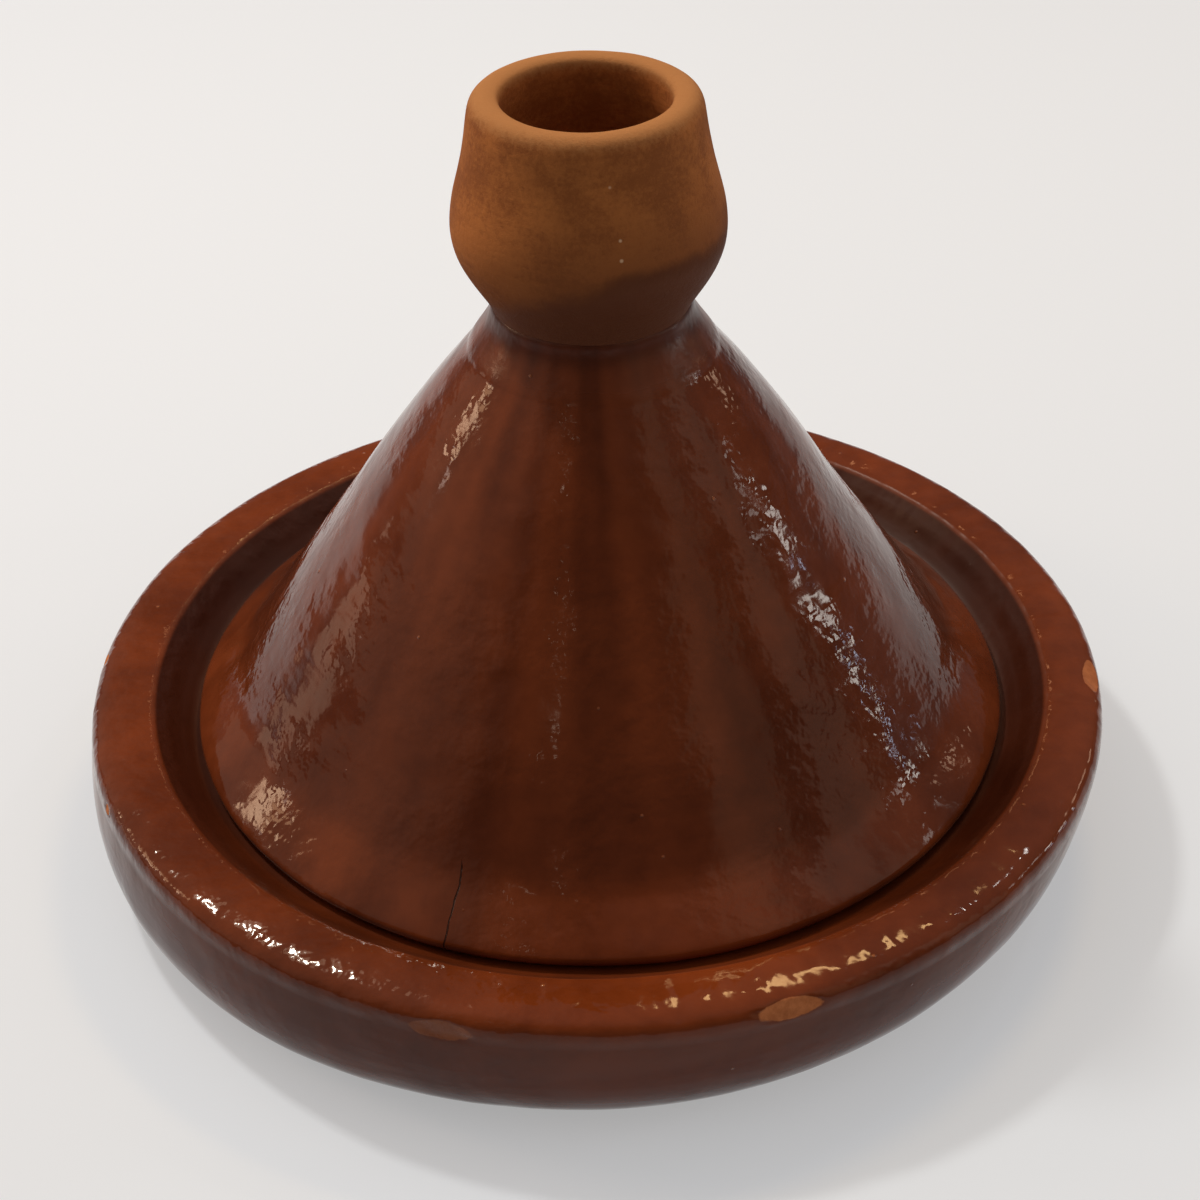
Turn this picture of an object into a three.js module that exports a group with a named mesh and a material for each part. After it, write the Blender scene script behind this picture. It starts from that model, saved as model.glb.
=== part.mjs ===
// A tagine: a shallow earthenware dish, a conical lid that stands in it, and the lid's cup-shaped knob.
// Every piece is thrown on a wheel, so each one is an outline turned about the Z axis.
// Millimetres, +Z up, with the origin at the centre of the dish's flat foot.

import * as THREE from 'three';

// Dish
const DISH_RADIUS = 136;
const DISH_HEIGHT = 41;
const DISH_FOOT_ROUND = 22;
const RIM_WIDTH = 17.2;
const RIM_CROWN = 0.8;
const RIM_OUTER_ROUND = 3.5;
const RIM_INNER_ROUND = 2;
const SEAT_DEPTH = 10;
const SEAT_CLEARANCE = 1.5;
const LEDGE_SPARE = 1.5;
const FLOOR_THICKNESS = 10;

// Lid
const LID_RADIUS = 108.8;
const LID_CONE_HEIGHT = 118;
const LID_EDGE_THICKNESS = 9;
const LID_WALL = 7;
const LID_TOP_THICKNESS = 9;
const LID_TOP_ROUND = 8;
const FLANGE_WIDTH = 12.1;
const FLANGE_ANGLE = THREE.MathUtils.degToRad(28);
const FLARE_ROUND = 22;
const NECK_RADIUS = 23.6;

// Knob
const KNOB_HEIGHT = 54.5;
const KNOB_RADIUS = 33;
const KNOB_WIDEST_HEIGHT = 21;
const KNOB_LIP_RADIUS = 27.6;
const KNOB_MOUTH_RADIUS = 20.5;
const KNOB_LIP_ROUND = 3;
const KNOB_MOUTH_ROUND = 1.5;
const KNOB_WALL = 7.5;
const KNOB_FLOOR = 12;

// Fullness is the share of a curve's height over which it keeps near upright at each of its ends,
// and flatness is the share of the cup's radius over which its floor keeps near level.
const KNOB_BELLY_FULLNESS = 0.4;
const KNOB_SHOULDER_FULLNESS = 0.3;
const KNOB_CUP_FULLNESS = 0.33;
const KNOB_CUP_FLATNESS = 0.5;

// Smoothness: facets in a full turn, in a quarter of a rounded edge, and along a curve
const TURN_SEGMENTS = 64;
const QUARTER_SEGMENTS = 4;
const CURVE_SEGMENTS = 6;

// Heights at which the pieces meet
const SEAT_Z = DISH_HEIGHT - SEAT_DEPTH;
const NECK_Z = SEAT_Z + LID_CONE_HEIGHT;

const point = (radius, height) => new THREE.Vector2(radius, height);

// Points along an arc, its two ends included
function arc(centre, radius, fromAngle, toAngle) {
  const steps = Math.max(2, Math.ceil(Math.abs(toAngle - fromAngle) / (Math.PI / 2) * QUARTER_SEGMENTS));
  const points = [];
  for (let i = 0; i <= steps; i++) {
    const angle = fromAngle + (toAngle - fromAngle) * i / steps;
    points.push(point(centre.x + radius * Math.cos(angle), centre.y + radius * Math.sin(angle)));
  }
  return points;
}

// The rounded corner of the given radius that replaces a corner between two straight lines
function roundedCorner(before, corner, after, radius) {
  const toBefore = before.clone().sub(corner).normalize();
  const toAfter = after.clone().sub(corner).normalize();
  const halfAngle = Math.acos(toBefore.dot(toAfter)) / 2;
  const bisector = toBefore.clone().add(toAfter).normalize();
  const centre = corner.clone().addScaledVector(bisector, radius / Math.sin(halfAngle));
  const start = corner.clone().addScaledVector(toBefore, radius / Math.tan(halfAngle)).sub(centre);
  const end = corner.clone().addScaledVector(toAfter, radius / Math.tan(halfAngle)).sub(centre);
  const sweep = Math.atan2(start.cross(end), start.dot(end));
  return arc(centre, radius, start.angle(), start.angle() + sweep);
}

// Where two lines cross, each given by a point and a direction
function crossing(pointA, directionA, pointB, directionB) {
  const along = pointB.clone().sub(pointA).cross(directionB) / directionA.cross(directionB);
  return pointA.clone().addScaledVector(directionA, along);
}

// A curve between two points of the outline that is upright at both ends
function swelling(from, to, fullness) {
  const reach = (to.y - from.y) * fullness;
  const leaving = point(from.x, from.y + reach);
  const arriving = point(to.x, to.y - reach);
  return new THREE.CubicBezierCurve(from, leaving, arriving, to).getPoints(CURVE_SEGMENTS);
}

// An outline turned about the Z axis
function thrownPiece(name, outline, material) {
  const geometry = new THREE.LatheGeometry(outline, TURN_SEGMENTS);
  geometry.rotateX(Math.PI / 2);
  const mesh = new THREE.Mesh(geometry, material);
  mesh.name = name;
  return mesh;
}

const glaze = new THREE.MeshStandardMaterial({ color: 0x6e2f17, roughness: 0.22, metalness: 0 });
const rimGlaze = new THREE.MeshStandardMaterial({ color: 0x7d3a1b, roughness: 0.25, metalness: 0 });
const bareClay = new THREE.MeshStandardMaterial({ color: 0x9a5c30, roughness: 0.85, metalness: 0 });

// The lid's slopes, in the plane of the outline: the flange runs up and in from the rounded edge,
// and the cone runs on from there to the neck.
const edgeRound = LID_EDGE_THICKNESS / 2;
const edgeCentre = point(LID_RADIUS - edgeRound, SEAT_Z + edgeRound);
const flangeFacing = Math.PI / 2 - FLANGE_ANGLE;
const flangeNormal = point(Math.cos(flangeFacing), Math.sin(flangeFacing));
const flangeStart = edgeCentre.clone().addScaledVector(flangeNormal, edgeRound);
const flareRadius = LID_RADIUS - FLANGE_WIDTH;
const flare = point(flareRadius, flangeStart.y + (flangeStart.x - flareRadius) * Math.tan(FLANGE_ANGLE));
const neck = point(NECK_RADIUS, NECK_Z);
const coneSlope = flare.clone().sub(neck).normalize();

// The inside of the cone lies one wall further in, and ends on the plane of the foot.
const innerConeTop = neck.clone().add(point(LID_WALL / coneSlope.y, 0));
const lidFootInner = crossing(innerConeTop, coneSlope, point(0, SEAT_Z), point(1, 0));
const lidCeiling = point(0, NECK_Z - LID_TOP_THICKNESS);
const lidCeilingEdge = crossing(innerConeTop, coneSlope, lidCeiling, point(1, 0));

// Dish: flat foot, rounded wall, crowned rim, sloping shoulder, the lid's ledge, and the bowl
function dishOutline() {
  const rimEdgeZ = DISH_HEIGHT - RIM_CROWN;
  const rimInnerRadius = DISH_RADIUS - RIM_WIDTH;
  const footCentre = point(DISH_RADIUS - DISH_FOOT_ROUND, DISH_FOOT_ROUND);
  const rimOuterCentre = point(DISH_RADIUS - RIM_OUTER_ROUND, rimEdgeZ - RIM_OUTER_ROUND);
  const rimTop = point((rimOuterCentre.x + rimInnerRadius) / 2, DISH_HEIGHT);
  const rimInner = point(rimInnerRadius, rimEdgeZ);
  const ledgeOuter = point(LID_RADIUS + SEAT_CLEARANCE, SEAT_Z);
  const ledgeInnerRadius = lidFootInner.x - LEDGE_SPARE;
  const bowlDepth = SEAT_Z - FLOOR_THICKNESS;
  const bowlCentre = point(ledgeInnerRadius - bowlDepth, SEAT_Z);
  return [
    point(0, 0),
    ...arc(footCentre, DISH_FOOT_ROUND, -Math.PI / 2, 0),
    ...arc(rimOuterCentre, RIM_OUTER_ROUND, 0, Math.PI / 2),
    rimTop,
    ...roundedCorner(rimTop, rimInner, ledgeOuter, RIM_INNER_ROUND),
    ledgeOuter,
    ...arc(bowlCentre, bowlDepth, 0, -Math.PI / 2),
    point(0, FLOOR_THICKNESS),
  ];
}

// Lid: flat foot, rounded edge, flange, cone up to the flat neck, and the same cone inside
function coneOutline() {
  return [
    lidFootInner,
    ...arc(edgeCentre, edgeRound, -Math.PI / 2, flangeFacing),
    ...roundedCorner(flangeStart, flare, neck, FLARE_ROUND),
    neck,
    point(0, NECK_Z),
    lidCeiling,
    ...roundedCorner(lidCeiling, lidCeilingEdge, lidFootInner, LID_TOP_ROUND),
    lidFootInner,
  ];
}

// Knob: a flat foot on the neck, a belly that swells and draws in to a rounded lip, and a cup inside
function knobOutline() {
  const widest = point(KNOB_RADIUS, NECK_Z + KNOB_WIDEST_HEIGHT);
  const topZ = NECK_Z + KNOB_HEIGHT;
  const lip = point(KNOB_LIP_RADIUS, topZ - KNOB_LIP_ROUND);
  const mouth = point(KNOB_MOUTH_RADIUS, topZ - KNOB_MOUTH_ROUND);
  const cupWidest = point(KNOB_RADIUS - KNOB_WALL, widest.y);
  const cupFloorZ = NECK_Z + KNOB_FLOOR;
  const cupFloor = new THREE.CubicBezierCurve(
    cupWidest,
    point(cupWidest.x, cupFloorZ),
    point(cupWidest.x * KNOB_CUP_FLATNESS, cupFloorZ),
    point(0, cupFloorZ),
  );
  return [
    point(0, NECK_Z),
    ...swelling(neck, widest, KNOB_BELLY_FULLNESS),
    ...swelling(widest, lip, KNOB_SHOULDER_FULLNESS).slice(1, -1),
    ...arc(point(lip.x - KNOB_LIP_ROUND, lip.y), KNOB_LIP_ROUND, 0, Math.PI / 2),
    ...arc(point(mouth.x + KNOB_MOUTH_ROUND, mouth.y), KNOB_MOUTH_ROUND, Math.PI / 2, Math.PI),
    ...swelling(mouth, cupWidest, KNOB_CUP_FULLNESS).slice(1),
    ...cupFloor.getPoints(CURVE_SEGMENTS).slice(1),
  ];
}

const tagine = new THREE.Group();
tagine.add(thrownPiece('dish', dishOutline(), rimGlaze));
tagine.add(thrownPiece('lid_cone', coneOutline(), glaze));
tagine.add(thrownPiece('lid_knob', knobOutline(), bareClay));

export default tagine;
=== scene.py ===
# A tagine of thrown earthenware: a shallow glazed dish, a conical glazed lid and the lid's bare clay knob.
# The pieces follow in the order in which they are put together; floor, lamps, room and camera come last.

import math

import bpy
from mathutils import Matrix, Vector, noise


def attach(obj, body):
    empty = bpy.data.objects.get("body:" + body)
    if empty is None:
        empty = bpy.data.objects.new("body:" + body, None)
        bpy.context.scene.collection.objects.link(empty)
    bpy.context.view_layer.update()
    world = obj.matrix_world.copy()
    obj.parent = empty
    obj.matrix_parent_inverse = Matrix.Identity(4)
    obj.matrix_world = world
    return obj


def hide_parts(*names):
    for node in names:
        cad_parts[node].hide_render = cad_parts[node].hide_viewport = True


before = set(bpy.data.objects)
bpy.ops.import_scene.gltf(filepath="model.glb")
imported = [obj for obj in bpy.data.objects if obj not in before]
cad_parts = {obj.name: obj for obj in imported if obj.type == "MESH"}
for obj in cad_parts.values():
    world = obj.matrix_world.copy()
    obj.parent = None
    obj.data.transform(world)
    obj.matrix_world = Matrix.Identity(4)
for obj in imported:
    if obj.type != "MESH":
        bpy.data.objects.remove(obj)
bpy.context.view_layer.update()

# DISH
# The base is a shallow dish of red earthenware, thrown on a wheel, with a thick rim and a ledge for the lid.
# It is dipped in a glossy brown glaze, and knocks have chipped bare clay free along the edge of the rim.

MM = 0.001
ROUNDING_STEPS = 2

# Rings from the middle of the foot, round the rim, to the middle of the bowl.
# Each is its radius, its height and how far it leans to the right, in mm.
DISH_FOOT = [(60, 0.0, -5), (108, 0.0, -6.5), (114, 0.2, -6.4), (120, 1.0, -6.2), (125.6, 3.0, -5.8)]
DISH_WALL = [(130, 6.6, -5.2), (133.2, 11.4, -4.4), (135.2, 17, -3.5), (136, 23, -2.6), (136.2, 29, -1.7),
             (136.1, 33, -1.1)]
DISH_RIM = [(136.0, 34.8, -0.9), (135.8, 36.4, -0.8), (135.2, 38.4, -0.8), (133.6, 39.9, -0.7),
            (131, 40.6, -0.6), (127, 41.0, -0.4), (123.6, 40.9, -0.1), (121.4, 40.7, 0), (120.3, 40.4, 0)]
DISH_SLOPE = [(119.6, 39.8, 0), (118.9, 39.0, 0), (117.6, 37.6, 0), (115.2, 35.2, 0), (112.6, 32.8, 0)]
DISH_LEDGE = [(110.9, 31.3, 0), (109.2, 30.6, 0), (104, 30.4, 0), (98.4, 30.4, 0)]
DISH_BOWL = [(96.2, 29.8, 0), (95.4, 26.6, 0), (93.4, 21.6, 0), (90, 16.6, 0), (85, 12.7, 0), (79, 10.6, 0),
             (73, 10.0, 0), (40, 10.0, 0), (16, 10.0, 0)]


def throw_pot(name, rings, sides):
    """Draws a pot up ring by ring, from the middle of its first ring to the middle of its last one."""
    bpy.ops.object.select_all(action="DESELECT")
    radius, height, lean = rings[0]
    bpy.ops.mesh.primitive_circle_add(vertices=sides, radius=radius * MM, fill_type="TRIFAN")
    pot = bpy.context.object
    pot.name = name
    bpy.ops.object.mode_set(mode="EDIT")
    bpy.ops.transform.translate(value=(lean * MM, 0, height * MM))
    bpy.ops.mesh.region_to_loop()
    for next_radius, next_height, next_lean in rings[1:]:
        rise = ((next_lean - lean) * MM, 0, (next_height - height) * MM)
        bpy.ops.mesh.extrude_region_move(TRANSFORM_OT_translate={"value": rise})
        growth = next_radius / radius
        middle = (next_lean * MM, 0, next_height * MM)
        bpy.ops.transform.resize(value=(growth, growth, 1), center_override=middle)
        radius, height, lean = next_radius, next_height, next_lean
    bpy.ops.mesh.extrude_region_move(TRANSFORM_OT_translate={"value": (0, 0, 0)})
    bpy.ops.mesh.merge(type="CENTER")
    bpy.ops.mesh.select_all(action="SELECT")
    bpy.ops.mesh.normals_make_consistent(inside=False)
    bpy.ops.object.mode_set(mode="OBJECT")
    bpy.ops.object.shade_smooth()
    return pot


def smooth_and_rumple(pot, lumps):
    """Rounds the rings off, then presses shallow lumps into the clay, each by its spread and depth in mm."""
    rounding = pot.modifiers.new("rounding", "SUBSURF")
    rounding.levels = ROUNDING_STEPS
    rounding.render_levels = ROUNDING_STEPS
    bpy.ops.object.modifier_apply(modifier="rounding")
    for spread, depth in lumps:
        clay = bpy.data.textures.new(f"{pot.name} lumps {spread}", "CLOUDS")
        clay.noise_scale = spread * MM
        clay.noise_depth = 1
        press = pot.modifiers.new("press", "DISPLACE")
        press.texture = clay
        press.texture_coords = "LOCAL"
        press.strength = depth * MM
        press.mid_level = 0.5
        bpy.ops.object.modifier_apply(modifier="press")


dish_rings = DISH_FOOT + DISH_WALL + DISH_RIM + DISH_SLOPE + DISH_LEDGE + DISH_BOWL
dish = throw_pot("dish_thrown", dish_rings, sides=144)
smooth_and_rumple(dish, lumps=[(60, 0.9), (14, 0.22)])

# Each chip: degrees round from the front, height and radius of its middle, slope of the surface there, then
# half its length round the rim, half its width and its depth, and the share of bare clay that shows in it
CHIPS = [
    (17.9, 37.6, 134.9, 34, 8.2, 2.4, 0.7, 1.0),
    (-16.2, 35.8, 135.9, 8, 7.6, 2.6, 0.6, 0.25),
    (84.4, 40.1, 132.4, 66, 6.6, 2.4, 0.7, 0.65),
    (-92.8, 37.6, 134.8, 30, 2.6, 1.5, 0.5, 1.0),
    (-67.1, 36.4, 135.9, 8, 1.8, 1.2, 0.5, 1.0),
    (171, 37.4, 134.8, 30, 6.0, 2.4, 0.8, 1.0),
    (-163, 38.0, 134.4, 36, 4.0, 2.0, 0.6, 0.6),
]
# How far under and over the surface a chip takes clay away, and how far it shows bare clay, in mm
CHIP_REACH = 6
CHIP_CLAY_REACH = 5
# Noise breaks up its outline: how many waves lie in a metre, and how much of the chip's size they take
CHIP_FRAYS = [(300, 0.35), (900, 0.2)]


def direction_round(degrees, slope=0.0):
    """The direction so many degrees to the right of the front, which slopes up by the other degrees."""
    turn, rise = math.radians(degrees), math.radians(slope)
    return Vector((math.sin(turn) * math.cos(rise), -math.cos(turn) * math.cos(rise), math.sin(rise)))


def chip_frame(degrees, height, radius, slope):
    """Where a chip lies: X runs round the rim, Y into the clay and Z up the surface."""
    turn = Matrix.Rotation(math.radians(degrees), 4, "Z") @ Matrix.Rotation(-math.radians(slope), 4, "X")
    middle = direction_round(degrees) * radius * MM + Vector((0, 0, height * MM))
    return Matrix.Translation(middle) @ turn


for degrees, height, radius, slope, half_length, half_width, depth, bare in CHIPS:
    spot = chip_frame(degrees, height, radius, slope)
    inward = spot.to_3x3() @ Vector((0, 1, 0))
    to_spot = spot.inverted()
    for vertex in dish.data.vertices:
        across, into, up = to_spot @ vertex.co
        if abs(into) < CHIP_REACH * MM:
            rough = sum((size * noise.noise(vertex.co * waves) for waves, size in CHIP_FRAYS), start=1)
            share = math.hypot(across / half_length, up / half_width) / MM * rough
            if share < 1:
                vertex.co += inward * depth * MM * (1 - share ** 3)


def finish_node(material, kind, settings=(), **inputs):
    """Adds a node to the material. An input that is another node's output is linked, and any other is set.
    Inputs go by their names, or as i and a number where a node has several of one name."""
    node = material.node_tree.nodes.new(kind)
    for name, value in dict(settings).items():
        setattr(node, name, value)
    for name, value in inputs.items():
        place = int(name[1:]) if name[0] == "i" and name[1:].isdigit() else name.replace("_", " ")
        if isinstance(value, bpy.types.NodeSocket):
            material.node_tree.links.new(value, node.inputs[place])
        else:
            node.inputs[place].default_value = value
    return node


def new_finish(name):
    """A bare material with its shader, and the place of each point of the piece in metres."""
    material = bpy.data.materials.new(name)
    material.use_nodes = True
    shader = material.node_tree.nodes["Principled BSDF"]
    place = finish_node(material, "ShaderNodeTexCoord").outputs["Object"]
    return material, shader, place


def arithmetic(material, operation, first, second=0.0):
    return finish_node(material, "ShaderNodeMath", {"operation": operation}, i0=first, i1=second).outputs[0]


def multiply_add(material, value, factor, term):
    return finish_node(material, "ShaderNodeMath", {"operation": "MULTIPLY_ADD"}, i0=value, i1=factor,
                       i2=term).outputs[0]


def product(material, first, second):
    return arithmetic(material, "MULTIPLY", first, second)


def ramp(material, value, none_at, full_at):
    """A smooth step from 0 at the first value to 1 at the second one, and level beyond them."""
    return finish_node(material, "ShaderNodeMapRange", {"interpolation_type": "SMOOTHSTEP"},
                       Value=value, From_Min=none_at, From_Max=full_at).outputs[0]


def cloud(material, place, per_metre, detail=3.0, roughness=0.5):
    return finish_node(material, "ShaderNodeTexNoise", Vector=place, Scale=per_metre, Detail=detail,
                       Roughness=roughness).outputs["Fac"]


def blend(material, share, under, over):
    """The second number in place of the first one, as far as the share says."""
    return finish_node(material, "ShaderNodeMix", {"data_type": "FLOAT"}, i0=share, i2=under,
                       i3=over).outputs[0]


def blend_colour(material, share, under, over):
    """The second colour over the first one, as far as the share says."""
    return finish_node(material, "ShaderNodeMix", {"data_type": "RGBA"}, i0=share, i6=under,
                       i7=over).outputs[2]


def place_parts(material, place):
    """How far a point lies to the right, to the back and up: X, Y and Z."""
    return finish_node(material, "ShaderNodeSeparateXYZ", Vector=place).outputs


def level_part(material, place):
    """A place brought down to the table."""
    parts = place_parts(material, place)
    return finish_node(material, "ShaderNodeCombineXYZ", X=parts["X"], Y=parts["Y"]).outputs[0]


def height_of(material, place):
    return place_parts(material, place)["Z"]


def radius_of(material, place):
    return finish_node(material, "ShaderNodeVectorMath", {"operation": "LENGTH"},
                       i0=level_part(material, place)).outputs["Value"]


def streaked(material, place, round_pot, up_pot, detail=1.0):
    """Noise on the unrolled pot: how many waves lie in a radian round it, and how many in a metre up it."""
    unit = finish_node(material, "ShaderNodeVectorMath", {"operation": "NORMALIZE"},
                       i0=level_part(material, place))
    spread = finish_node(material, "ShaderNodeVectorMath", {"operation": "SCALE"}, i0=unit.outputs[0],
                         Scale=round_pot)
    rise = finish_node(material, "ShaderNodeCombineXYZ",
                       Z=product(material, height_of(material, place), up_pot))
    unrolled = finish_node(material, "ShaderNodeVectorMath", {"operation": "ADD"},
                           i0=spread.outputs[0], i1=rise.outputs[0])
    return cloud(material, unrolled.outputs[0], per_metre=1.0, detail=detail)


def bump(material, height, depth, under=None):
    """Relief of the given depth in metres on top of the relief under it."""
    node = finish_node(material, "ShaderNodeBump", Height=height, Distance=depth)
    if under is not None:
        material.node_tree.links.new(under, node.inputs["Normal"])
    return node.outputs[0]


def coarse_share(material, place, smooth_share):
    """How coarse the glaze is: grainy in some places, and smooth in others, down to the given share."""
    patches = ramp(material, cloud(material, place, per_metre=42.0, detail=1.0), none_at=0.38, full_at=0.58)
    return multiply_add(material, patches, 1 - smooth_share, smooth_share)


CLAY_DARK = (0.39, 0.125, 0.042, 1)
CLAY_LIGHT = (0.55, 0.197, 0.073, 1)
# Dark glaze of the pools, which also paints the shade
POOL_AND_SHADE_BROWN = (0.030, 0.0056, 0.0018, 1)
CRACK_BROWN = (0.016, 0.0045, 0.0018, 1)
PINHOLE_SHOWS = 0.35
CRACK_SHOWS = 0.85
# Shares of the noises by which the glaze ran thick or thin
MOTTLE_SHARE = 0.2
CLOUD_AND_STREAK_SHARE = 0.9
# How dull each surface is
GLOSS_BEST = 0.05
GLOSS_LEAST = 0.14
RUBBED_DULL = 0.4
CLAY_DULL = 0.85
LOW_SHINE = 0.2
# How deep the glaze's relief is, in metres
WAVE_DEPTH = 0.00055
THROWING_RING_DEPTH = 0.00010
PEBBLE_DEPTH = 0.00013
PINHOLE_DEPTH = 0.00025
CRACK_DEPTH = 0.0004


def brown_glaze(name, thick, thin, streak_share, grain_depth, pooled_and_shaded, worn, uncovered, cracked, lumpy):
    """Glossy brown glaze, darker where it ran thick, with a fine grain of the given depth. The last five are
    functions of the material and the place of a point. They give the share of dark glaze pools and painted
    shade there, the share that is rubbed dull, the share of bare clay that shows, the share of a crack, and
    the height of the lumps that only this pot has."""
    material, shader, place = new_finish(name)
    connect = material.node_tree.links.new

    # Colour: thin and thick glaze, dark glaze pools that also paint the shade, pinholes, bare clay and the
    # crack
    streaks = streaked(material, place, round_pot=5.5, up_pot=8.0)
    clouds = cloud(material, place, per_metre=24.0)
    mottle = cloud(material, place, per_metre=190.0, roughness=0.65)
    run = multiply_add(material, streaks, streak_share, product(material, mottle, MOTTLE_SHARE))
    run = multiply_add(material, clouds, CLOUD_AND_STREAK_SHARE - streak_share, run)
    colour = blend_colour(material, ramp(material, run, none_at=0.36, full_at=0.74), thick, thin)
    # Painted shade in gaps and creases, laid on as dark glaze pools
    colour = blend_colour(material, pooled_and_shaded(material, place), colour, POOL_AND_SHADE_BROWN)
    pits = finish_node(material, "ShaderNodeTexVoronoi", Vector=place, Scale=210.0)
    pit_draw = finish_node(material, "ShaderNodeSeparateColor", Color=pits.outputs["Color"]).outputs[0]
    pinhole = product(material, ramp(material, pit_draw, none_at=0.945, full_at=0.96),
                      ramp(material, pits.outputs["Distance"], none_at=0.14, full_at=0.05))
    colour = blend_colour(material, product(material, pinhole, PINHOLE_SHOWS), colour, CLAY_LIGHT)
    sand = cloud(material, place, per_metre=330.0, detail=4.0, roughness=0.7)
    clay = blend_colour(material, ramp(material, sand, none_at=0.3, full_at=0.7), CLAY_DARK, CLAY_LIGHT)
    clay_share = uncovered(material, place)
    colour = blend_colour(material, clay_share, colour, clay)
    crack = cracked(material, place)
    colour = blend_colour(material, product(material, crack, CRACK_SHOWS), colour, CRACK_BROWN)
    connect(colour, shader.inputs["Base Color"])

    # Shine: glossy, dull where it is rubbed, and matt where clay shows
    gloss = finish_node(material, "ShaderNodeMapRange", Value=mottle, From_Min=0.35, From_Max=0.7,
                        To_Min=GLOSS_BEST, To_Max=GLOSS_LEAST).outputs[0]
    dull = blend(material, worn(material, place), gloss, RUBBED_DULL)
    connect(blend(material, clay_share, dull, CLAY_DULL), shader.inputs["Roughness"])
    shader.inputs["Specular IOR Level"].default_value = LOW_SHINE

    # Relief: low waves, throwing rings, pebbles and grain in the coarse patches, pinholes, lumps and crack
    relief = bump(material, cloud(material, place, per_metre=48.0, detail=1.0), WAVE_DEPTH)
    rings = streaked(material, place, round_pot=0.35, up_pot=230.0, detail=2.0)
    relief = bump(material, rings, THROWING_RING_DEPTH, relief)
    coarse = coarse_share(material, place, smooth_share=0.2)
    for per_metre, depth in [(240.0, PEBBLE_DEPTH), (460.0, grain_depth)]:
        grains = product(material, cloud(material, place, per_metre, detail=1.0), coarse)
        relief = bump(material, grains, depth, relief)
    relief = bump(material, pinhole, PINHOLE_DEPTH, relief)
    relief = bump(material, lumpy(material, place), 1.0, relief)
    connect(bump(material, crack, -CRACK_DEPTH, relief), shader.inputs["Normal"])
    return material


# Shares of painted shade, laid on as dark glaze pools: in the gap inside the rim at the front, more towards
# the back, and on the wall under the rim
SHADE_POOLED_IN_FRONT = 0.35
SHADE_POOLED_MORE_BEHIND = 0.5
SHADE_UNDER_RIM = 0.22
CHIP_EDGE_FRAY = 0.7
DISH_FOOT_WAVER = 0.006
# How high the lumps on the rim are, in metres
WIDE_LUMP = 0.0004
SMALL_LUMP = 0.0005
WIPED_RIB = 0.0008
RIB_LUMP = 0.00016


def dish_pool_and_shade(material, place):
    """Painted shade, laid on as dark glaze pools, on the slope and the ledge inside the rim, most at the
    back, and a little painted shade on the wall under the rim."""
    inside = ramp(material, radius_of(material, place), none_at=0.1199, full_at=0.1190)
    behind = ramp(material, place_parts(material, place)["Y"], none_at=-0.11, full_at=-0.03)
    gap_shade = product(material, inside, multiply_add(material, behind, SHADE_POOLED_MORE_BEHIND, SHADE_POOLED_IN_FRONT))
    under_rim = ramp(material, height_of(material, place), none_at=0.0365, full_at=0.0335)
    return arithmetic(material, "MAXIMUM", gap_shade, product(material, under_rim, SHADE_UNDER_RIM))


def dish_worn(material, place):
    """The lid rubs the inner side of the rim and the ledge."""
    return ramp(material, radius_of(material, place), none_at=0.1211, full_at=0.1200)


def dish_uncovered(material, place):
    """Bare clay in the chips of the rim, and under the foot where the dish stood in the kiln."""
    ragged = cloud(material, place, per_metre=170.0, roughness=0.55)
    frayed = multiply_add(material, ragged, CHIP_EDGE_FRAY, -CHIP_EDGE_FRAY / 2)
    in_chip = 0.0
    for degrees, height, radius, slope, half_length, half_width, depth, bare in CHIPS:
        spot = chip_frame(degrees, height, radius, slope)
        local = finish_node(material, "ShaderNodeMapping", {"vector_type": "TEXTURE"}, Vector=place,
                            Location=spot.to_translation(), Rotation=spot.to_euler(),
                            Scale=(half_length * MM, CHIP_CLAY_REACH * MM, half_width * MM))
        reach = finish_node(material, "ShaderNodeVectorMath", {"operation": "LENGTH"}, i0=local.outputs[0])
        frayed_reach = arithmetic(material, "ADD", reach.outputs["Value"], frayed)
        shown = product(material, ramp(material, frayed_reach, none_at=1.02, full_at=0.9), bare)
        in_chip = arithmetic(material, "MAXIMUM", shown, in_chip)
    waver = cloud(material, place, per_metre=45.0)
    foot_line = multiply_add(material, waver, DISH_FOOT_WAVER, height_of(material, place))
    on_foot = ramp(material, foot_line, none_at=0.0052, full_at=0.0042)
    return arithmetic(material, "MAXIMUM", in_chip, on_foot)


def nowhere(material, place):
    """For a flaw that the pot does not have."""
    return 0.0


def dish_lumpy(material, place):
    """The rim was wiped with a wet hand, which left small lumps along its left and ribs across its right."""
    on_rim = ramp(material, height_of(material, place), none_at=0.0335, full_at=0.0375)
    at_left = ramp(material, place_parts(material, place)["X"], none_at=0.04, full_at=-0.04)
    at_right = arithmetic(material, "SUBTRACT", 1.0, at_left)
    wide = cloud(material, place, per_metre=95.0, detail=1.0)
    small = product(material, cloud(material, place, per_metre=210.0, detail=2.0), SMALL_LUMP)
    lumps = multiply_add(material, wide, WIDE_LUMP, small)
    ribs = product(material, streaked(material, place, round_pot=19.0, up_pot=20.0), WIPED_RIB)
    ribs = multiply_add(material, wide, RIB_LUMP, ribs)
    ribs = multiply_add(material, cloud(material, place, per_metre=230.0, detail=1.0), RIB_LUMP, ribs)
    relief = multiply_add(material, lumps, at_left, product(material, ribs, at_right))
    return product(material, relief, on_rim)


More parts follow.
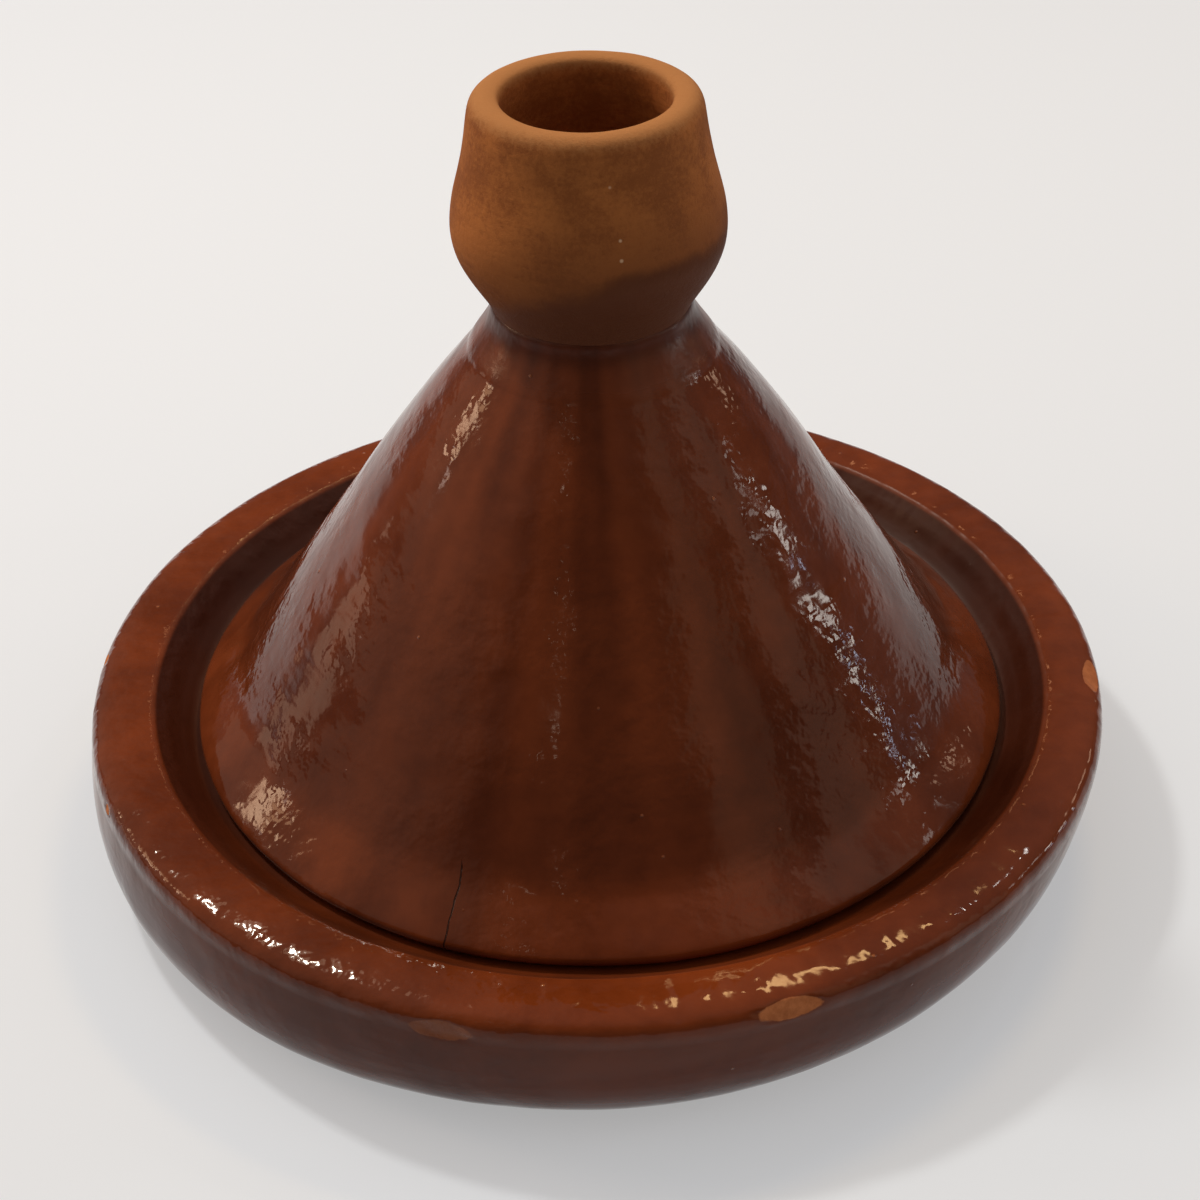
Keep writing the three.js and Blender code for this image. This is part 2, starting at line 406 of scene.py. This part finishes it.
dish.data.materials.append(brown_glaze(
    "dish_brown_glaze", thick=(0.099, 0.0184, 0.0036, 1), thin=(0.187, 0.0380, 0.0085, 1), streak_share=0.25,
    grain_depth=0.00003, pooled_and_shaded=dish_pool_and_shade, worn=dish_worn, uncovered=dish_uncovered, cracked=nowhere,
    lumpy=dish_lumpy))
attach(dish, "dish")
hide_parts("dish")

# LID
# The lid is a hollow cone of the same clay, thrown upside down and turned over, with a flared foot that
# stands on the ledge of the dish. Its glaze ran down in streaks, and a hairline crack crosses the foot.

# Rings from the middle of the ceiling inside, down to the foot and up the outside to the flat top
LID_INSIDE = [(6, 140, 0), (13, 139.8, 0), (18, 139, 0), (21.4, 136.6, 0), (25, 132.6, 0), (31.4, 125.6, 0),
              (42.4, 110, 0), (56.4, 90, 0), (70.4, 70, 0), (84.4, 50, 0), (93.4, 37, 0), (96.8, 32.4, 0)]
LID_FOOT = [(98.4, 31.0, 0), (101.4, 30.9, 0), (104.8, 30.95, 0), (106.8, 31.05, 0), (108.0, 31.6, 0),
            (108.6, 32.6, 0), (108.75, 33.5, 0), (108.55, 34.3, 0), (107.9, 35.1, 0)]
LID_FLANGE = [(106.6, 36.3, 0), (104.4, 38.1, 0), (101.6, 40.4, 0), (99.2, 42.3, 0), (97.4, 43.9, 0),
              (95.6, 45.9, 0), (93.4, 48.7, 0)]
LID_CONE = [(90.4, 52.9, 0), (86.4, 58.4, 0), (81.4, 66.0, 0), (73.6, 77.6, 0), (65.6, 89, 0),
            (58.6, 100.4, 0.2), (51.0, 111.8, 0.4), (43.0, 123, 0.5), (35.6, 132.2, 0.6)]
LID_COLLAR = [(32.2, 136.4, 0.7), (31.0, 137.9, 0.7), (30.7, 138.6, 0.7), (30.2, 139.5, 0.7),
              (28.9, 141.4, 0.7), (27.2, 143.9, 0.7), (25.7, 146.3, 0.6), (24.9, 148.2, 0.5),
              (24.6, 149.6, 0.5), (24.3, 150.8, 0.5), (23.0, 151.6, 0.5), (10, 151.6, 0)]
# Shares of painted shade, laid on as dark glaze pools, in the crease under the knob and low on the cone
SHADE_IN_CREASE = 0.5
SHADE_LOW_DOWN = 0.30
LID_FOOT_WAVER = 0.003
CRACK_DEGREES = -20.6
CRACK_TOP = 0.0482
CRACK_FADE = 0.002
CRACK_SWAY = 0.0026
COLLAR_RUBBED = 0.7
# How high the lid's rings and lumps are, in metres
FLARE_RING = 0.00008
LID_LUMP = 0.00032

lid = throw_pot("lid_thrown", LID_INSIDE + LID_FOOT + LID_FLANGE + LID_CONE + LID_COLLAR, sides=96)
smooth_and_rumple(lid, lumps=[(70, 1.0), (22, 0.30), (9, 0.10)])


def lid_pool_and_shade(material, place):
    """Painted shade, laid on as dark glaze pools, in the crease under the knob, and a little towards the
    flare of the foot.
    """
    height = height_of(material, place)
    in_crease = product(material, ramp(material, height, none_at=0.1440, full_at=0.1480), SHADE_IN_CREASE)
    low_down = product(material, ramp(material, height, none_at=0.095, full_at=0.055), SHADE_LOW_DOWN)
    above_foot = ramp(material, height, none_at=0.0425, full_at=0.0490)
    return arithmetic(material, "MAXIMUM", in_crease, product(material, low_down, above_foot))


def lid_uncovered(material, place):
    """Bare clay under the foot that stood in the kiln."""
    waver = cloud(material, place, per_metre=60.0)
    foot_line = multiply_add(material, waver, LID_FOOT_WAVER, height_of(material, place))
    return ramp(material, foot_line, none_at=0.0328, full_at=0.0322)


def along(material, place, direction):
    """How far a point lies out in a direction."""
    return finish_node(material, "ShaderNodeVectorMath", {"operation": "DOT_PRODUCT"}, i0=place,
                       i1=direction).outputs["Value"]


def lid_cracked(material, place):
    """The share of a crooked hairline crack that runs from the edge of the foot up to its flare."""
    crooked = cloud(material, place, per_metre=110.0, roughness=0.6)
    sway = multiply_add(material, crooked, CRACK_SWAY, -CRACK_SWAY / 2)
    aside = along(material, place, direction_round(CRACK_DEGREES + 90))
    away = arithmetic(material, "ABSOLUTE", arithmetic(material, "ADD", aside, sway))
    facing = along(material, place, direction_round(CRACK_DEGREES))
    line = product(material, ramp(material, away, none_at=0.00026, full_at=0.00008),
                   ramp(material, facing, none_at=0.05, full_at=0.06))
    below = ramp(material, height_of(material, place), none_at=CRACK_TOP, full_at=CRACK_TOP - CRACK_FADE)
    return product(material, line, below)


def lid_worn(material, place):
    """The glaze is thin and dull on the collar under the knob."""
    on_collar = ramp(material, height_of(material, place), none_at=0.1375, full_at=0.1420)
    return product(material, on_collar, COLLAR_RUBBED)


def lid_lumpy(material, place):
    """Low lumps all over, least where the glaze is smooth, and throwing rings in the flare of the foot."""
    height = height_of(material, place)
    in_flare = product(material, ramp(material, height, none_at=0.040, full_at=0.045),
                       ramp(material, height, none_at=0.064, full_at=0.052))
    rings = product(material, streaked(material, place, round_pot=0.5, up_pot=330.0), FLARE_RING)
    lumps = product(material, cloud(material, place, per_metre=125.0, detail=1.0), LID_LUMP)
    lumps = product(material, lumps, coarse_share(material, place, smooth_share=0.5))
    return multiply_add(material, rings, in_flare, lumps)


lid.data.materials.append(brown_glaze(
    "lid_brown_glaze", thick=(0.090, 0.0180, 0.0045, 1), thin=(0.175, 0.0380, 0.0105, 1), streak_share=0.45,
    grain_depth=0.00014, pooled_and_shaded=lid_pool_and_shade, worn=lid_worn, uncovered=lid_uncovered, cracked=lid_cracked,
    lumpy=lid_lumpy))
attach(lid, "lid")
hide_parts("lid_cone")

# KNOB
# The knob is a small cup, thrown by itself and stuck on the cone with wet clay before the firing. It was
# left bare, apart from the brown glaze that ran up its foot when the lid was dipped.

# Rings from the middle of the foot up the outside, over the lip and down to the middle of the cup
KNOB_FOOT = [(12, 148.5, 0.5), (21, 148.5, 0.5), (23.4, 148.9, 0.5), (24.0, 150.4, 0.5), (25.1, 152.8, 0.6)]
KNOB_BELLY = [(26.9, 155.8, 0.7), (29.6, 160, 0.7), (32.2, 165, 0.6), (33.2, 169.6, 0.4), (33.0, 174.4, 0.3),
              (32.0, 179.6, 0.3), (30.4, 185, 0.3), (29.2, 190, 0.3), (28.3, 195, 0.3), (27.7, 199, 0.3)]
KNOB_LIP = [(27.1, 201.5, 0.3), (25.8, 203.0, 0.3), (24.0, 203.6, 0.3), (22.0, 203.5, 0.3),
            (20.7, 203.1, 0.3), (20.1, 202.3, 0.3), (20.0, 200.6, 0.3), (20.2, 198.4, 0.3)]
KNOB_CUP = [(20.9, 194, 0.2), (22.6, 186, 0), (24.7, 177, 0), (25.2, 170, 0), (23.8, 165, 0), (20, 162.2, 0),
            (13, 161.2, 0), (5, 161, 0)]
FIRED_DARK = (0.265, 0.084, 0.0215, 1)
FIRED_LIGHT = (0.43, 0.149, 0.038, 1)
DUSTY_LIP = (0.41, 0.186, 0.067, 1)
DARKER_LOW_CLAY = (0.17, 0.052, 0.017, 1)
THIN_GLAZE = (0.105, 0.031, 0.0125, 1)
GLAZE_EDGE = (0.07, 0.020, 0.008, 1)
PALE_GRIT = (0.66, 0.43, 0.26, 1)
# Each grit: degrees round from the front, height and radius, and half its width, in mm
GRITS = [(10.5, 193.0, 28.9, 0.22), (13.4, 181.2, 31.7, 0.16), (13.3, 176.7, 32.6, 0.20),
         (-118, 186.0, 30.4, 0.2)]
GRIT_BLUR = 0.4
# Shares of the throwing lines and the sand in the tone of the clay
LINE_SHARE = 0.22
SAND_SHARE = 0.62
DUST_WAVER = 0.004
# The glaze line slopes with the dip, up to these degrees from the front, and wavers by this much in metres
DIP_DEGREES = 38
DIP_SLOPE = 0.40
DIP_WAVER = 0.008
LOW_DARKENING_SHOWS = 0.7
THIN_GLAZE_SHOWS = 0.85
GLAZE_EDGE_STRENGTH = 2.2
BARE_DULL = 0.88
THIN_GLAZE_DULL = 0.66
LINE_DEPTH = 0.00015
SAND_DEPTH = 0.00022

knob = throw_pot("knob_thrown", KNOB_FOOT + KNOB_BELLY + KNOB_LIP + KNOB_CUP, sides=80)
smooth_and_rumple(knob, lumps=[(40, 0.6), (10, 0.16)])

clay, clay_shader, knob_place = new_finish("knob_bare_clay")
knob_parts = place_parts(clay, knob_place)
sand = cloud(clay, knob_place, per_metre=800.0, detail=4.0, roughness=0.8)
stain = cloud(clay, knob_place, per_metre=55.0, detail=4.0, roughness=0.6)
throwing_lines = streaked(clay, knob_place, round_pot=0.5, up_pot=520.0, detail=3.0)
tone = multiply_add(clay, throwing_lines, LINE_SHARE, multiply_add(clay, sand, SAND_SHARE, stain))
clay_colour = blend_colour(clay, ramp(clay, tone, none_at=0.74, full_at=1.10), FIRED_DARK, FIRED_LIGHT)
# The lip is rubbed pale and dusty
dust_line = multiply_add(clay, sand, DUST_WAVER, knob_parts["Z"])
dusty = ramp(clay, dust_line, none_at=0.2020, full_at=0.2055)
clay_colour = blend_colour(clay, dusty, clay_colour, DUSTY_LIP)
# The lid was dipped aslant, so the thin glaze on the knob's foot reaches highest at the right of the front
dipped = along(clay, knob_place, direction_round(DIP_DEGREES))
glaze_line = multiply_add(clay, dipped, -DIP_SLOPE, knob_parts["Z"])
glaze_line = multiply_add(clay, cloud(clay, knob_place, per_metre=70.0, detail=4.0), DIP_WAVER, glaze_line)
glazed = ramp(clay, glaze_line, none_at=0.1660, full_at=0.1588)
# Above the glaze line the clay gets darker towards it, near the foot
darker_low = ramp(clay, glaze_line, none_at=0.1870, full_at=0.1610)
clay_colour = blend_colour(clay, product(clay, darker_low, LOW_DARKENING_SHOWS), clay_colour, DARKER_LOW_CLAY)
knob_colour = blend_colour(clay, product(clay, glazed, THIN_GLAZE_SHOWS), clay_colour, THIN_GLAZE)
# A dark line runs along the glaze's edge, darkest at the right
half_glazed = product(clay, glazed, arithmetic(clay, "SUBTRACT", 1.0, glazed))
at_edge = product(clay, half_glazed, GLAZE_EDGE_STRENGTH)
at_edge = product(clay, at_edge, ramp(clay, knob_parts["X"], none_at=-0.012, full_at=0.012))
knob_colour = blend_colour(clay, at_edge, knob_colour, GLAZE_EDGE)
# Pale grits lie in the clay
for degrees, height, radius, half_width in GRITS:
    grit_place = direction_round(degrees) * radius * MM + Vector((0, 0, height * MM))
    away = finish_node(clay, "ShaderNodeVectorMath", {"operation": "DISTANCE"}, i0=knob_place, i1=grit_place)
    grit = ramp(clay, away.outputs["Value"], none_at=(half_width + GRIT_BLUR) * MM, full_at=half_width * MM)
    knob_colour = blend_colour(clay, grit, knob_colour, PALE_GRIT)
clay.node_tree.links.new(knob_colour, clay_shader.inputs["Base Color"])
clay.node_tree.links.new(blend(clay, glazed, BARE_DULL, THIN_GLAZE_DULL), clay_shader.inputs["Roughness"])
clay_shader.inputs["Specular IOR Level"].default_value = LOW_SHINE
clay_relief = bump(clay, throwing_lines, LINE_DEPTH)
clay_relief = bump(clay, sand, SAND_DEPTH, clay_relief)
clay.node_tree.links.new(clay_relief, clay_shader.inputs["Normal"])
knob.data.materials.append(clay)
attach(knob, "lid")
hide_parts("lid_knob")

# FLOOR
# A wide sheet of pale paper that sweeps up all round into a low wall, out of the lamps' way.
# It glows a little where the camera or the glaze sees it, which makes it white and keeps the shadow on it.

FLOOR_RADIUS = 3.4
# How far each step of the sweep rises, and how much wider it gets
FLOOR_SWEEP = [(0.03, 1.1), (0.12, 1.07), (0.2, 1.04), (0.25, 1.02)]
PAPER = (0.43, 0.485, 0.565, 1)
WHITE = (1, 1, 1, 1)
PAPER_GLOW = 0.36
FAR_PAPER_GLOWS_MORE = 0.42

bpy.ops.object.select_all(action="DESELECT")
bpy.ops.mesh.primitive_circle_add(vertices=96, radius=FLOOR_RADIUS, fill_type="TRIFAN")
floor = bpy.context.object
floor.name = "floor"
bpy.ops.object.mode_set(mode="EDIT")
bpy.ops.mesh.region_to_loop()
for rise, growth in FLOOR_SWEEP:
    bpy.ops.mesh.extrude_region_move(TRANSFORM_OT_translate={"value": (0, 0, rise)})
    bpy.ops.transform.resize(value=(growth, growth, 1))
bpy.ops.object.mode_set(mode="OBJECT")
bpy.ops.object.shade_smooth()
paper, paper_shader, paper_place = new_finish("white_paper")
paper_shader.inputs["Base Color"].default_value = PAPER
paper_shader.inputs["Roughness"].default_value = 0.9
paper_shader.inputs["Specular IOR Level"].default_value = 0.0
paper_shader.inputs["Emission Color"].default_value = WHITE
ray = finish_node(paper, "ShaderNodeLightPath").outputs
paper_radius = radius_of(paper, paper_place)
far_off = ramp(paper, paper_radius, none_at=0.6, full_at=1.7)
seen_glow = multiply_add(paper, far_off, FAR_PAPER_GLOWS_MORE, PAPER_GLOW)
mirrored_glow = product(paper, ramp(paper, paper_radius, none_at=2.0, full_at=0.75), PAPER_GLOW)
mirrored = arithmetic(paper, "MAXIMUM", ray["Is Glossy Ray"], ray["Is Transmission Ray"])
glow = arithmetic(paper, "MAXIMUM", product(paper, ray["Is Camera Ray"], seen_glow),
                  product(paper, mirrored, mirrored_glow))
paper.node_tree.links.new(glow, paper_shader.inputs["Emission Strength"])
floor.data.materials.append(paper)

# LAMPS
# Soft boxes stand round the tagine: a key with a warm glow round it high at the back left, small warm ones
# at the left and right, a golden one high at the back right, and three tiny ones in front for glints.

LAMP_TARGET = Vector((0, 0, 0.09))


def soft_box(name, degrees, rise, distance, width, height, watts, colour):
    """A soft box that faces the tagine, the given degrees to the right of the front and above the table."""
    lamp = bpy.data.lights.new(name, "AREA")
    lamp.shape = "RECTANGLE"
    lamp.size = width
    lamp.size_y = height
    lamp.energy = watts
    lamp.color = colour
    box = bpy.data.objects.new(name, lamp)
    bpy.context.scene.collection.objects.link(box)
    away = direction_round(degrees, rise)
    box.location = LAMP_TARGET + away * distance
    box.rotation_euler = away.to_track_quat("Z", "Y").to_euler()
    box.visible_camera = False


soft_box("key", -128, 57, 1.4, 0.11, 0.13, 7.6, (1.0, 0.92, 0.80))
soft_box("key_glow", -128, 57, 1.42, 0.46, 0.32, 1.6, (1.0, 0.66, 0.42))
soft_box("left_lamp", -102, 19.5, 1.2, 0.20, 0.10, 0.85, (1.0, 0.66, 0.42))
soft_box("left_strip", -98, 15.5, 1.2, 0.03, 0.06, 0.04, (1.0, 0.78, 0.66))
soft_box("left_low", -106, 0.5, 1.2, 0.30, 0.10, 0.17, (1.0, 0.66, 0.46))
soft_box("left_window", -103.5, 27.5, 1.2, 0.25, 0.16, 0.90, (1.0, 0.60, 0.33))
soft_box("right_strip", 90, 17.5, 1.2, 0.12, 0.10, 0.20, (1.0, 0.94, 0.86))
soft_box("right_lamp", 96.5, 9.5, 1.2, 0.13, 0.09, 0.48, (1.0, 0.96, 0.88))
soft_box("blue_low", 97.5, 2.0, 1.2, 0.05, 0.06, 0.11, (0.66, 0.79, 1.0))
soft_box("right_window", 114.5, 18.5, 1.2, 0.16, 0.11, 0.33, (1.0, 0.66, 0.44))
soft_box("right_rim", 128, 49, 1.2, 0.05, 0.05, 0.353, (1.0, 0.96, 0.90))
soft_box("golden", 153, 60, 1.3, 0.30, 0.13, 3.2, (1.0, 0.62, 0.27))
soft_box("back_line", 179, 32, 1.3, 0.20, 0.05, 0.19, (1.0, 0.45, 0.20))
for name, degrees, rise in [("glint_high", -28, 44), ("glint_mid", -22, 40), ("glint_low", -17, 28)]:
    soft_box(name, degrees, rise, 1.2, 0.016, 0.020, 0.011, (1.0, 0.80, 0.60))

# ROOM
# Dim light comes from all sides, with two wide glows and two upright panes in it.
# To the camera alone the room is white.

ROOM_DIM = (0.125, 0.120, 0.115)
ROOM_SEEN = (0.90, 0.90, 0.91, 1)
# Each glow: degrees to the right of the front, degrees up, and its colour
GLOWS = [(-100, 34, (0.52, 0.44, 0.36)), (115, 66, (0.30, 0.29, 0.28))]
# Each pane: degrees to the right of the front, half of the degrees that it spans, and its colour
PANES = [(46, 13, (0.52, 0.37, 0.25)), (78, 9, (0.74, 0.53, 0.39))]
# A pane is full as far as the first share of its half span, and gone at the second
PANE_FULL = 0.5
PANE_GONE = 1.3

world = bpy.data.worlds.new("room")
bpy.context.scene.world = world
world.use_nodes = True
sky = finish_node(world, "ShaderNodeTexCoord").outputs["Generated"]
sky_right, sky_back, sky_up = place_parts(world, sky)


def brightened(light, share, colour):
    """The light of the room with more of a colour in it where the share says."""
    return finish_node(world, "ShaderNodeVectorMath", {"operation": "MULTIPLY_ADD"}, i0=colour, i1=share,
                       i2=light).outputs[0]


room_light = ROOM_DIM
for degrees, rise, colour in GLOWS:
    facing = along(world, sky, direction_round(degrees, rise))
    room_light = brightened(room_light, ramp(world, facing, none_at=0.5, full_at=0.95), colour)
turn_round_room = arithmetic(world, "ARCTAN2", sky_right, product(world, sky_back, -1.0))
upright = product(world, ramp(world, sky_up, none_at=0.05, full_at=0.2),
                  ramp(world, sky_up, none_at=0.9, full_at=0.7))
for degrees, half_span, colour in PANES:
    from_middle = arithmetic(world, "SUBTRACT", turn_round_room, math.radians(degrees))
    pane = ramp(world, arithmetic(world, "ABSOLUTE", from_middle),
                none_at=math.radians(half_span * PANE_GONE), full_at=math.radians(half_span * PANE_FULL))
    room_light = brightened(room_light, product(world, pane, upright), colour)
by_camera = finish_node(world, "ShaderNodeLightPath").outputs["Is Camera Ray"]
world.node_tree.links.new(blend_colour(world, by_camera, room_light, ROOM_SEEN),
                          world.node_tree.nodes["Background"].inputs["Color"])

# CAMERA
# It looks down at the front of the tagine from about arm's length, very slightly rolled.

CAMERA_PLACE = (0.0008, -0.4749, 0.4060)
CAMERA_TILT = math.radians(53.9)
CAMERA_ROLL = math.radians(-1.41)

lens = bpy.data.cameras.new("camera")
lens.lens = 66
lens.sensor_width = 36
lens.clip_start = 0.01
camera = bpy.data.objects.new("camera", lens)
bpy.context.scene.collection.objects.link(camera)
turned = Matrix.Rotation(CAMERA_TILT, 4, "X") @ Matrix.Rotation(CAMERA_ROLL, 4, "Z")
camera.matrix_world = Matrix.Translation(CAMERA_PLACE) @ turned
bpy.context.scene.camera = camera
bpy.context.scene.view_settings.view_transform = "Standard"
